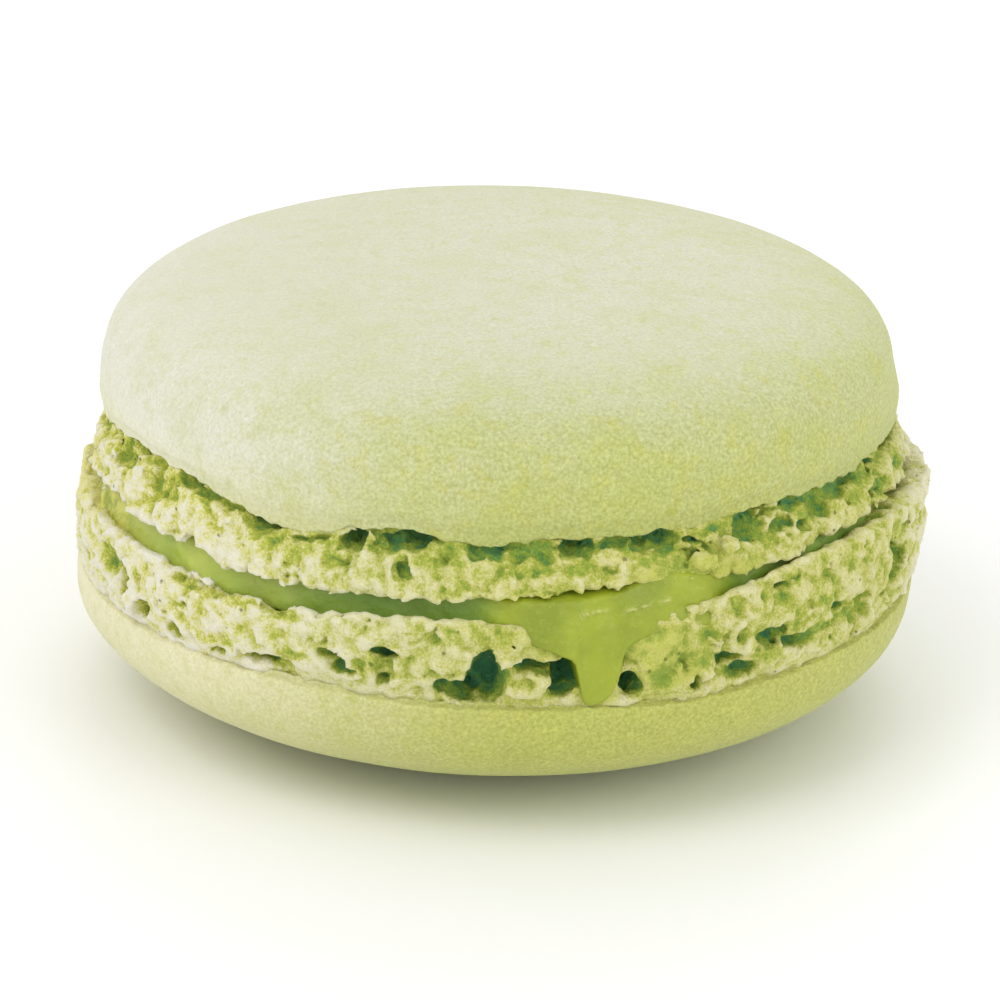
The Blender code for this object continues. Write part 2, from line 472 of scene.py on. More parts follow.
TOP = ShellForm(
    label="top",
    node="top_shell",
    facing=Facing.UP,
    rim_z=16.39,
    rim_radius=21.77,
    belly=1.33,
    radius=22.0,
    dome=6.81,
    squareness=3.4,
    flat_radius=0.0,
    foot=2.64,
    foot_radius=23.25,
    seam_rise=SEAM_RISE - 0.28,
    lean=(-0.3, -0.69),
    slope=0.6,
    cover=-0.05,
    fold=1.8,
    tuck=0.0,
    shelf=(),
    girth=(Swell(-102, 26, -1.85), Swell(85, 22, -0.15)),
    cap_girth=(Swell(92, 18, 0.6), Swell(-95, 20, -0.1)),
    dome_girth=(Swell(-108, 38, -0.4), Swell(92, 20, 0.05)),
    crumb_voxel=0.135,
    rim_waves=(
        Swell(-60, 13, 1.0),
        Swell(-46, 4, 0.35),
        Swell(-28, 6, -0.65),
        Swell(-12, 4, 0.4),
        Swell(0, 5, -0.2),
        Swell(40, 8, 0.35),
    ),
    lip_waves=(
        Swell(-65, 20, 0.6),
        Swell(-42.5, 2.5, 0.25),
        Swell(-37.2, 2.6, -0.45),
        Swell(-25, 6, -0.3),
        Swell(-12, 12, -0.2),
        Swell(16, 9, 0.35),
        Swell(65, 15, 0.4),
    ),
    caves=blobs(
        (-62, 0.68, 1.4, 1.0, 0.55, -0.1), (-58.4, 0.07, 1.06, 0.4, 0.7, 0.2),
        (-51.1, 0.9, 1.7, 0.65, 0.5, -0.3), (-46, 0.14, 0.87, 0.49, 0.9, 0.2),
        (-33.1, 0.12, 1.26, 0.62, 0.9, 0.1), (-31.2, -0.02, 0.55, 0.38, 1.2, 0.4),
        (-18.5, 0.42, 0.8, 0.58, 1.8, -0.1), (-10.3, 0.4, 0.92, 0.68, 1.9, 0),
        (-13.4, 0.67, 0.96, 0.45, 1.4, -0.2), (-7.5, -0.1, 0.41, 0.27, 1, 0.4),
        (-11.2, 1.78, 0.5, 0.6, 0.6, -0.6), (-1.7, 0.19, 0.57, 0.6, 0.8, 0.1),
        (1.1, 0.28, 0.54, 0.42, 0.8, 0), (4.1, 0.35, 0.9, 0.51, 0.6, -0.1), (7, 0.62, 0.57, 0.48, 0.7, -0.2),
        (11.7, 0.36, 1.07, 0.51, 1.5, -0.1), (20.7, 0.23, 0.76, 0.51, 1.3, 0),
        (23.8, 0.41, 0.79, 0.58, 1.4, -0.1), (27.5, 0.71, 0.76, 0.27, 0.9, -0.3),
        (37, 0.69, 1.1, 0.85, 1.0, -0.2), (44.1, 0.19, 0.58, 0.36, 0.6, 0.1),
        (42.5, 0.98, 0.83, 0.36, 0.6, -0.4),
        (46.3, 1.32, 0.66, 0.32, 0.45, -0.5), (50.3, 0.63, 0.99, 0.7, 1.0, -0.3),
        (55.6, 0.31, 1.08, 0.36, 0.7, -0.1), (66.5, 1.3, 1.6, 0.45, 0.55, -0.7),
    )
    + far_caves(5, 2.7, 84, 286, 9.0),
    shade_spots=blobs(
        (-62, 0.9, 1.7, 1.3, 1.2, -0.1), (-50.5, 0.95, 2.1, 0.9, 1.2, -0.3), (-31, 0.5, 1.6, 0.8, 1.2, -0.1),
        (-42.4, 0.4, 0.43, 0.56, 0.9, -0.1), (-27, 0.9, 0.7, 0.9, 0.9, -0.3), (-20, 1.1, 1.5, 0.4, 0.9, -0.4),
        (-39.2, 1.25, 0.56, 0.23, 0.9, -0.5), (-8, 1.1, 1.0, 0.5, 0.9, -0.5),
        (-4.5, 0.7, 0.7, 0.5, 0.9, -0.4),
        (2.1, 1.15, 0.8, 0.3, 0.9, -0.5), (11.5, 1.26, 0.9, 0.3, 0.9, -0.6),
        (7.1, 1.31, 0.7, 0.25, 0.9, -0.6),
        (4.1, 2.13, 0.7, 0.3, 0.9, -0.9), (17.8, 0.4, 0.66, 0.41, 0.9, -0.1), (22, 1.1, 1.4, 0.5, 0.9, -0.4),
        (28.3, 1.7, 0.5, 0.4, 0.9, -0.7), (34.1, 1.54, 0.6, 0.45, 0.9, -0.6),
        (31.5, 0.3, 0.9, 0.3, 0.9, -0.1),
        (47, 0.9, 1.3, 0.5, 0.9, -0.4), (58, 0.9, 1.6, 0.5, 0.9, -0.4), (63.2, 0.48, 2.22, 0.46, 0.9, -0.2),
        (66.5, 1.4, 2.2, 0.6, 0.9, -0.8), (76, 1.1, 1.5, 0.6, 0.9, -0.8),
    ),
    knobs=blobs((32.3, 0.87, 0.5, 0.45, 0.5, -0.3), (28.6, 1.6, 0.8, 0.65, 0.7, 0.0)),
    soaked=blobs(
        (26, 2.2, 3.6, 1.1, 3), (30, 1.6, 1.2, 0.8, 3), (32, 2.5, 2.6, 0.7, 3), (8, 2.9, 5, 0.7, 3),
        (-82, 1.7, 4.0, 1.1, 2),
    ),
    core_radius=20.6,
    undercut=0.4,
    rim_shade_depth=0.4,
    tear=(0.2, 0.22, 0.12),
    seed=3.1,
)
BOTTOM = ShellForm(
    label="bottom",
    node="bottom_shell",
    facing=Facing.DOWN,
    rim_z=8.2,
    rim_radius=23.2,
    belly=0.25,
    radius=23.55,
    dome=8.18,
    squareness=2.5,
    flat_radius=8.0,
    foot=4.7,
    foot_radius=24.0,
    seam_rise=SEAM_RISE,
    lean=(0.0, 0.0),
    slope=0.5,
    cover=0.12,
    fold=0.8,
    tuck=0.3,
    shelf=(Swell(-79, 25, 0.95), Swell(75, 32, 0.85)),
    girth=(Swell(-98, 24, -1.0), Swell(85, 25, 0.35), Swell(13.8, 4.5, -0.6)),
    cap_girth=(Swell(-95, 25, -0.45),),
    dome_girth=(Swell(-95, 30, 0.25),),
    crumb_voxel=0.162,
    rim_waves=(Swell(-25, 12, 0.2), Swell(26, 9, -0.25)),
    lip_waves=(
        Swell(-86, 9, 0.9),
        Swell(-43, 6, 0.35),
        Swell(-32, 16, -0.55),
        Swell(13, 10, -1.0),
        Swell(43, 8, 0.45),
        Swell(62, 24, 0.9),
        Swell(88, 14, 0.1),
    ),
    caves=blobs(
        (-61.1, 2.4, 1.5, 0.9, 0.6, -0.2), (-56.6, 2.0, 0.5, 1.1, 1.1, -0.2),
        (-54.6, 1.3, 0.4, 0.5, 1.2, -0.2),
        (-51.5, 0.91, 0.45, 0.61, 1.4, -0.2), (-45, 0.59, 0.69, 0.54, 0.9, -0.2),
        (-36.9, 0.47, 0.71, 0.27, 0.9, -0.2), (-29.9, 0.64, 1.26, 0.31, 1.3, -0.2),
        (-20, 1.71, 0.84, 0.36, 1.3, -0.3), (-19.2, 1.14, 0.48, 0.4, 1, -0.3),
        (-17.7, 1.03, 0.31, 0.27, 0.9, -0.2), (-13.1, 2.31, 0.81, 0.38, 1.6, -0.3),
        (-13.4, 1.5, 0.56, 0.82, 0.8, -0.3), (-13.6, 0.82, 0.34, 0.42, 1.3, -0.2),
        (-6, 0.87, 0.5, 0.49, 1.7, -0.2), (-3.2, 0.65, 1.06, 0.71, 2.5, -0.2),
        (-0.5, 1.42, 0.98, 1.6, 2.8, -0.3), (5, 2.22, 0.94, 0.32, 1.7, -0.2),
        (7.3, 2.1, 0.95, 0.42, 2.4, -0.2),
        (9.9, 1.55, 0.97, 0.95, 2.7, -0.1), (9, 0.85, 0.6, 0.55, 2.3, -0.2),
        (18.1, 1.0, 0.7, 0.79, 2.5, -0.2), (27.1, 0.63, 0.32, 0.48, 1.3, -0.2),
        (24.6, 4.88, 0.27, 0.27, 0.7, -0.1), (28, 4.43, 0.27, 0.31, 0.7, -0.1),
        (31.9, 1.66, 0.77, 0.36, 1.5, -0.3), (34.2, 0.83, 1.1, 0.56, 1.3, -0.2),
        (38.7, 2.19, 1.22, 0.73, 1.3, -0.3), (43, 1.48, 1.12, 0.5, 1.1, -0.3),
        (51.2, 2.48, 0.8, 0.37, 0.9, -0.3), (56, 1.58, 0.93, 0.75, 0.8, -0.3),
        (40, 4.91, 0.45, 0.27, 0.8, -0.1), (66.4, 3.01, 0.93, 1.27, 1.4, -0.4),
        (-42.5, 3.7, 1.5, 0.4, 0.8, 0), (-37.4, 3.65, 0.8, 0.32, 0.9, 0), (-28.8, 3.5, 0.9, 0.3, 0.9, -0.1),
    )
    + far_caves(9, 4.7, 82, 284, 10.0),
    shade_spots=blobs(
        (-61, 2.6, 1.9, 1.2, 1.2, -0.2), (-53, 2.9, 0.45, 0.46, 0.9, -0.2),
        (-38.6, 0.96, 1.1, 0.4, 0.9, -0.2),
        (-35, 1.14, 0.5, 0.4, 0.9, -0.3), (-25.2, 1.4, 1.5, 0.5, 0.9, -0.3), (-14, 1.6, 1.2, 1.2, 0.9, -0.3),
        (-42, 3.6, 2.2, 0.55, 1.2, 0), (-34, 3.5, 1.6, 0.4, 1.2, 0), (-27.5, 3.4, 1.3, 0.4, 1.2, 0),
        (11.1, 0.72, 0.33, 0.52, 0.9, -0.1), (16.4, 2.4, 0.5, 0.4, 0.9, 0), (22.3, 1.46, 1.3, 1.2, 0.9, -0.3),
        (27, 1.9, 0.8, 0.5, 0.9, -0.3), (38, 1.6, 1.8, 1.0, 0.9, -0.3), (46.6, 1.85, 1.2, 0.6, 0.9, -0.3),
        (47.5, 3.38, 0.83, 0.46, 0.9, -0.3), (54, 1.9, 1.5, 0.9, 0.9, -0.3),
        (68.6, 3.54, 1.22, 0.6, 0.9, -0.4),
    ),
    knobs=blobs(
        (1.5, 2.79, 0.66, 0.61, 0.8, -0.2), (34.6, 2.21, 0.7, 0.6, 0.7, 0.05),
        (30, 2.7, 0.6, 0.5, 0.6, 0.05), (-53.1, 1.31, 0.75, 0.7, 0.7, 0.0),
    ),
    soaked=blobs(
        (13.9, 1.6, 1.4, 2.0, 3), (14.5, 3.6, 5, 1.3, 3), (23.5, 2, 2.2, 1.5, 3),
        (-66, 4.3, 10, 0.9, 1.3, 1.6), (-82, 4.6, 4.5, 1.8, 2.5),
    ),
    core_radius=20.9,
    undercut=-0.2,
    rim_shade_depth=-0.25,
    tear=(0.12, 0.12, 0.1),
    seed=11.7,
)


# ---------------------------------------------------------------- finishes


@dataclass(frozen=True)
class Finish:
    """What every finish shares: a named Principled material on millimetre coordinates.

    Attributes:
        name: the material's name.
        roughness: of the surface.
        soft_depth: how deep light scatters under the surface, in millimetres.
        softness: share of the light that scatters there.
    """

    name: str
    roughness: float
    soft_depth: float
    softness: float

    def start(self) -> tuple[bpy.types.Material, Graph, bpy.types.Node, Socket]:
        """Makes the material with its shader and its place in millimetres.

        Returns:
            The material, its graph, its shader node and the socket of the object's coordinates.
        """
        material = bpy.data.materials.new(self.name)
        material.use_nodes = True
        graph = Graph(material.node_tree)
        shader = graph.add("ShaderNodeBsdfPrincipled")
        output = graph.add("ShaderNodeOutputMaterial")
        graph.feed(output.inputs["Surface"], shader.outputs[0])
        shader.inputs["Roughness"].default_value = self.roughness
        shader.inputs["Subsurface Weight"].default_value = self.softness
        shader.inputs["Subsurface Radius"].default_value = (1.0, 1.0, 0.5)
        shader.inputs["Subsurface Scale"].default_value = self.soft_depth * MM
        coordinates = graph.add("ShaderNodeTexCoord").outputs["Object"]
        place = graph.vector("SCALE", coordinates)
        graph.feed(place.node.inputs["Scale"], 1 / MM)
        return material, graph, shader, place

    def mixed(self, graph: Graph, share: Value, low: Value, high: Value, blend: str = "MIX") -> Socket:
        """Mixes two colours by a share."""
        node = graph.add("ShaderNodeMix", data_type="RGBA", blend_type=blend, clamp_factor=True)
        graph.feed(node.inputs[0], share)
        for socket, value in ((node.inputs[6], low), (node.inputs[7], high)):
            graph.feed(socket, value if isinstance(value, Socket) else (*value, 1.0))
        return node.outputs[2]

    def ramp(self, graph: Graph, share: Socket, stops: tuple[tuple[float, Colour], ...]) -> Socket:
        """A colour read off a ramp of stops, each a share and a colour."""
        node = graph.add("ShaderNodeValToRGB", {0: share})
        elements = node.color_ramp.elements
        while len(elements) < len(stops):
            elements.new(0.5)
        for element, (place, colour) in zip(elements, stops):
            element.position = place
            element.color = (*colour, 1.0)
        return node.outputs[0]

    def relief(self, graph: Graph, shader: bpy.types.Node, height: Socket, depth: float) -> None:
        """Gives the shader a bump of that depth in millimetres."""
        bump = graph.add("ShaderNodeBump", {"Height": height, "Strength": 1.0, "Distance": depth * MM})
        graph.feed(shader.inputs["Normal"], bump.outputs[0])


@dataclass(frozen=True)
class CrustFinish(Finish):
    """The smooth skin of a cap: matte, very finely grained, and paler on the crown, partly its own drier skin
    and partly painted light from above.

    Attributes:
        shade_side: stops of the colour by height, from the table to the crown, on the greener side away from
            the key light, painted darker as shade.
        pale: the same on the paler side, painted lighter as lit by the key light; both darken towards the
            table as painted contact shade.
        top_z: height of the crown above the ground, in millimetres.
        sheen: weight of the floury sheen.
    """

    shade_side: tuple[tuple[float, Colour], ...] = ()
    pale: tuple[tuple[float, Colour], ...] = ()
    top_z: float = 24.5
    sheen: float = 0.18

    def make(self) -> bpy.types.Material:
        """Builds the material."""
        material, graph, shader, place = self.start()
        shader.inputs["Sheen Weight"].default_value = self.sheen
        shader.inputs["Sheen Roughness"].default_value = 0.5
        x, _, z = graph.split(place)
        # Painted light and shade: by height the colour darkens towards the table as contact shade, and by
        # side the left is painted paler as lit and the right greener as shaded.
        level = graph.math("DIVIDE", z, self.top_z)
        side = graph.step(x, *LIT_SIDE_SPAN)
        pale, shade_side = self.ramp(graph, level, self.pale), self.ramp(graph, level, self.shade_side)
        colour = self.mixed(graph, side, pale, shade_side)
        lower = graph.step(z, 24.3, 21.0, 0.5, 1.0)
        strong = graph.math("MULTIPLY", lower, graph.step(x, -20.0, 4.0, 0.4, 1.0))
        clouds = graph.grain(place, 3.2, 3.0, 0.55).outputs[0]
        blush = graph.math("MULTIPLY", graph.step(clouds, 0.42, 0.72, 0.0, 0.45), strong)
        colour = self.mixed(graph, blush, colour, linear(180, 188, 88))
        patches = graph.grain(place, 0.9, 3.0, 0.6).outputs[0]
        warm = graph.math("MULTIPLY", graph.step(patches, 0.48, 0.72, 0.0, 0.6), strong)
        colour = self.mixed(graph, warm, colour, linear(190, 190, 92))
        fine = graph.grain(place, 0.19, 3.0, 0.6).outputs[0]
        swing = graph.math("MULTIPLY", strong, 1.0)
        bright = graph.math("MULTIPLY_ADD", graph.math("SUBTRACT", fine, 0.5), swing, 1.0)
        tinge = graph.math("MULTIPLY", bright, bright)
        colour = self.mixed(graph, 1.0, colour, graph.joined(bright, bright, tinge), "MULTIPLY")
        specks = graph.cells(place, 2.3)
        pick = graph.split(specks.outputs["Color"])[0]
        reach = graph.step(pick, 0.45, 1.0, 0.0, 0.16)
        inside = graph.step(graph.math("SUBTRACT", reach, specks.outputs["Distance"]), -0.06, 0.1, 0.0, 0.6)
        colour = self.mixed(graph, graph.math("MULTIPLY", inside, strong), colour, linear(172, 178, 70))
        # Painted shade under the rim's edge: the hollow number paints the hidden shelf and core green, then
        # deep green.
        hollow = graph.add("ShaderNodeAttribute", attribute_name="hollow").outputs["Fac"]
        colour = self.mixed(graph, graph.step(hollow, 0.05, 0.5), colour, linear(118, 148, 58))
        colour = self.mixed(graph, graph.step(hollow, 0.4, 1.2), colour, linear(48, 98, 52))
        graph.feed(shader.inputs["Base Color"], colour)
        soft = graph.grain(place, 1.6, 2.0, 0.5).outputs[0]
        bumps = graph.total(graph.math("MULTIPLY", fine, 0.5), graph.math("MULTIPLY", soft, 0.8))
        self.relief(graph, shader, bumps, 0.12)
        return material


@dataclass(frozen=True)
class CrumbFinish(Finish):
    """The torn, grainy crumb of a foot: pale on what stands proud, yellow-green and then deep green below,
    partly its own mottled tone and partly painted shade in creases and hollows.

    Attributes:
        shade_side: stops of the colour from the proud lumps to the deepest hollows, on the greener side away
            from the key light, painted as shade.
        pale: the same on the paler side, painted as lit by the key light.
    """

    shade_side: tuple[tuple[float, Colour], ...] = ()
    pale: tuple[tuple[float, Colour], ...] = ()

    def make(self) -> bpy.types.Material:
        """Builds the material."""
        material, graph, shader, place = self.start()
        hollow = graph.add("ShaderNodeAttribute", attribute_name="hollow").outputs["Fac"]
        nook = graph.add("ShaderNodeAttribute", attribute_name="nook").outputs["Fac"]
        soaked = graph.add("ShaderNodeAttribute", attribute_name="soaked").outputs["Fac"]
        foam = graph.grain(place, 0.26, 3.0, 0.7)
        fine = foam.outputs[0]
        fine_shift = graph.vector(
            "MULTIPLY_ADD", foam.outputs["Color"], (0.3, 0.3, 0.3), (-0.15, -0.15, -0.15)
        )
        dust = graph.grain(place, 0.13, 2.0, 0.6).outputs[0]
        patches = graph.grain(place, 1.3, 3.0, 0.6).outputs[0]
        # Painted shade mixed with the crumb's own mottling: hollow and nook rise in hollows and creases,
        # while the noises vary the tone at random.
        depth = graph.total(
            graph.math("MULTIPLY", hollow, 0.9),
            graph.math("MULTIPLY", nook, 4.5),
            graph.math("MULTIPLY_ADD", fine, 1.6, -0.8),
            graph.math("MULTIPLY_ADD", dust, 1.2, -0.6),
            graph.math("MULTIPLY_ADD", patches, 2.6, -1.3),
            graph.math("MULTIPLY", soaked, 0.35),
        )
        span = {"Value": depth, "From Min": -1.1, "From Max": 2.3}
        share = graph.add("ShaderNodeMapRange", span).outputs[0]
        # Painted light: the left is painted paler as lit by the key light, and the far right edge paler again
        # as a rim light.
        x = graph.split(place)[0]
        side = graph.math("SUBTRACT", graph.step(x, *LIT_SIDE_SPAN), graph.step(x, 21.0, 23.5, 0.0, 0.6))
        pale, shade_side = self.ramp(graph, share, self.pale), self.ramp(graph, share, self.shade_side)
        colour = self.mixed(graph, side, pale, shade_side)
        # Cream-soaked crumb: its lime is painted darker deeper down as shade, and buttery on the left as lit
        # by the key light.
        below = graph.step(share, 0.25, 0.7)
        lime = self.mixed(graph, below, linear(202, 204, 98), linear(148, 168, 58))
        butter = self.mixed(graph, below, linear(236, 229, 156), linear(206, 200, 92))
        lime = self.mixed(graph, side, butter, lime)
        colour = self.mixed(graph, graph.math("MULTIPLY", soaked, 0.85), colour, lime)
        # Pinholes: dark olive dots painted as the shade inside tiny pits, with a dent in the bump.
        holes = graph.cells(graph.vector("ADD", place, fine_shift), 0.75)
        reach = graph.step(graph.split(holes.outputs["Color"])[0], 0.55, 1.0, 0.0, 0.15)
        hole = graph.step(graph.math("SUBTRACT", reach, holes.outputs["Distance"]), -0.04, 0.05)
        colour = self.mixed(graph, graph.math("MULTIPLY", hole, 0.7), colour, linear(106, 112, 44))
        graph.feed(shader.inputs["Base Color"], colour)
        grit = graph.grain(place, 0.14, 3.0, 0.7).outputs[0]
        coarse = graph.grain(place, 0.4, 3.0, 0.6).outputs[0]
        bumps = graph.total(graph.math("MULTIPLY", grit, 0.8), coarse, graph.math("MULTIPLY", hole, -0.7))
        self.relief(graph, shader, bumps, 0.18)
        return material


@dataclass(frozen=True)
class CreamFinish(Finish):
    """Soft smooth cream: olive green in the seam as painted shade, paler on the left as painted light, bright
    lime where it bulges out, with pale strokes as painted highlights.
    """

    def make(self) -> bpy.types.Material:
        """Builds the material."""
        material, graph, shader, place = self.start()
        spill = graph.add("ShaderNodeAttribute", attribute_name="spill").outputs["Fac"]
        highlight_streak = graph.add("ShaderNodeAttribute", attribute_name="highlight_streak").outputs["Fac"]
        clouds = graph.grain(place, 3.0, 2.0, 0.5).outputs[0]
        patch = graph.step(clouds, 0.3, 0.7)
        x = graph.split(place)[0]
        # Painted light and shade: the cream is olive in the seam as painted shade and brighter on the left as
        # lit by the key light.
        seam_shade = self.mixed(graph, patch, linear(133, 168, 64), linear(144, 177, 68))
        bright = self.mixed(graph, patch, linear(172, 192, 80), linear(190, 200, 92))
        colour = self.mixed(graph, graph.step(x, -6.0, -15.0), seam_shade, bright)
        spots = graph.step(graph.grain(place, 0.9, 3.0, 0.6).outputs[0], 0.4, 0.62)
        olive = self.mixed(graph, spots, linear(206, 204, 92), linear(150, 160, 40))
        colour = self.mixed(graph, graph.step(x, -18.5, -20.5), colour, olive)
        lime = self.mixed(graph, graph.step(clouds, 0.35, 0.65), linear(157, 170, 36), linear(137, 152, 34))
        colour = self.mixed(graph, graph.step(spill, 0.1, 0.8), colour, lime)
        fine = graph.grain(place, 0.3, 3.0, 0.65).outputs[0]
        colour = self.mixed(graph, graph.step(fine, 0.5, 0.8, 0.0, 0.2), colour, linear(205, 212, 110))
        # Painted highlights: pale strokes along the spill.
        highlight_stroke = graph.math("MULTIPLY", highlight_streak, graph.step(fine, 0.3, 0.65, 0.0, 0.7))
        colour = self.mixed(graph, highlight_stroke, colour, linear(222, 222, 140))
        graph.feed(shader.inputs["Base Color"], colour)
        bumps = graph.total(fine, clouds, graph.math("MULTIPLY", highlight_streak, 1.2))
        self.relief(graph, shader, bumps, 0.08)
        return material


# ---------------------------------------------------------------- sub-assemblies


@dataclass
class Cap:
    """The smooth domed cap of a shell, with its thin torn rim and the core that the foot wraps.

    Attributes:
        form: the shell's sizes.
        columns: faces round it.
        dome_rows: rows of faces on the dome.
        skirt_rows: rows between the widest ring and the rim.
        rim_rows: rows of faces round the edge of the rim.
        skin: thickness of the rim's edge, in millimetres.
        core_gap: how far the core stops short of the lip.
        tear_size: the scales at which the rim's edge wanders.
    """

    form: ShellForm
    columns: int = 720
    dome_rows: int = 90
    skirt_rows: int = 8
    rim_rows: int = 12
    skin: float = 0.13
    core_gap: float = 1.0
    tear_size: tuple[float, float, float] = (2.1, 0.75, 0.34)

    def outline(self) -> tuple[np.ndarray, np.ndarray]:
        """The outline as radii and rises, from the crown round the rim to the middle of the core."""
        form = self.form
        steepest = math.acos((form.flat_radius / form.radius) ** (form.squareness / 2))
        angles = steepest * (1 - np.linspace(0.0, 1.0, self.dome_rows + 1))
        radii = form.radius * np.cos(angles) ** (2 / form.squareness)
        rises = form.dome_rise(radii)
        skirt = np.linspace(0.0, 1.0, self.skirt_rows + 1)[1:]
        skirt_rises = form.belly + (self.skin - form.belly) * skirt
        skirt_radii = form.radius + (form.rim_radius - form.radius) * ease(skirt)
        turns = np.linspace(0.0, math.pi * 0.75, self.rim_rows + 1)[1:]
        edge_radii = form.rim_radius - self.skin + self.skin * np.cos(turns)
        edge_rises = self.skin - self.skin * np.sin(turns)
        shelf = np.linspace(0.0, 1.0, 7)[1:]
        shelf_radii = edge_radii[-1] + (form.core_radius - edge_radii[-1]) * shelf
        shelf_rises = edge_rises[-1] + 0.3 * ease(shelf * 1.6)
        wall_height = self.core_gap - form.foot - shelf_rises[-1]
        wall_rises = shelf_rises[-1] + wall_height * np.linspace(0.25, 1.0, 4)
        all_radii = [radii, skirt_radii, edge_radii, shelf_radii, np.full(4, form.core_radius), [13.0, 6.0]]
        all_rises = [rises, skirt_rises, edge_rises, shelf_rises, wall_rises, np.full(2, wall_rises[-1])]
        return np.concatenate(all_radii), np.concatenate(all_rises)

    def make(self, finish: bpy.types.Material) -> bpy.types.Object:
        """Builds the cap.

        Args:
            finish: its material.

        Returns:
            The finished piece.
        """
        form = self.form
        radii, rises = self.outline()
        if radii[0] < 0.01:
            radii, rises = radii[1:], rises[1:]
        rows = len(radii)
        azimuths = (np.arange(self.columns) + 0.5) / self.columns * 360 - 180
        radius = np.repeat(radii[:, None], self.columns, axis=1)
        rise = np.repeat(rises[:, None], self.columns, axis=1)
        azimuth = np.repeat(azimuths[None, :], rows, axis=0)
        waves = form.facing.value * swelling(azimuth, form.rim_waves) * np.exp(-((rise / 1.3) ** 2))
        tears, dents = self.roughness(azimuth, radius, rise)
        rise = rise + waves + tears
        upper = ease(rise / 3.5)
        girth = swelling(azimuth, form.cap_girth) * (1 - upper) + swelling(azimuth, form.dome_girth) * upper
        radius = radius + dents * ease(radius / 4.0) + girth * ease(radius / form.radius)
        angle = np.radians(azimuth)
        x, y = radius * np.sin(angle), -radius * np.cos(angle)
        z = form.rim_z + form.facing.value * rise
        points = np.stack([x, y, z], axis=2).reshape(-1, 3)
        crown = [0.0, 0.0, form.rim_z + form.facing.value * float(form.dome_rise(np.array(form.flat_radius)))]
        middle = [0.0, 0.0, form.rim_z + form.facing.value * rises[-1]]
        points = np.vstack([points, crown, middle])
        if form.facing is Facing.DOWN:
            points[:, 2] = np.maximum(points[:, 2], 0.0)
        faces = ring_faces(rows, self.columns, form.facing)
        piece = mesh_object(form.label + "_cap", form.placed(points), faces)
        # Painted shade: points of the shelf and core under the rim's edge get a hollow number that the crust
        # paints green.
        hidden = np.clip(form.rim_radius - 0.2 - radius, 0.0, 3.0)
        hidden[np.repeat(rises[:, None], self.columns, axis=1) > self.skin * 0.9] = 0.0
        first_edge = rows - 7 - 4 - 2
        hidden[:first_edge, :] = 0.0
        give_attribute(piece, "hollow", np.append(hidden.reshape(-1), [0.0, 3.0]))
        piece.data.materials.append(finish)
        return piece

    def roughness(
        self, azimuth: np.ndarray, radius: np.ndarray, rise: np.ndarray
    ) -> tuple[np.ndarray, np.ndarray]:
        """How the rim is torn and how the skin dips and swells.

        Args:
            azimuth: of each point.
            radius: of each point.
            rise: of each point.

        Returns:
            What to add to each point's rise and to its radius.
        """
        near_rim = np.exp(-((rise / 0.45) ** 2))
        tears = np.zeros_like(rise)
        dents = np.zeros_like(rise)
        angle = np.radians(azimuth)
        x, y = radius * np.sin(angle), -radius * np.cos(angle)
        for row, column in np.ndindex(rise.shape):
            place = Vector((x[row, column], y[row, column], self.form.seed * 7))
            if near_rim[row, column] > 0.02:
                scales = zip(self.form.tear, self.tear_size)
                wander = sum(far * noise.noise(place / size) for far, size in scales)
                tears[row, column] = wander * near_rim[row, column]
            place.z += rise[row, column]
            dents[row, column] = 0.09 * noise.noise(place / 6.0) + 0.03 * noise.noise(place / 1.8)
        return tears, dents


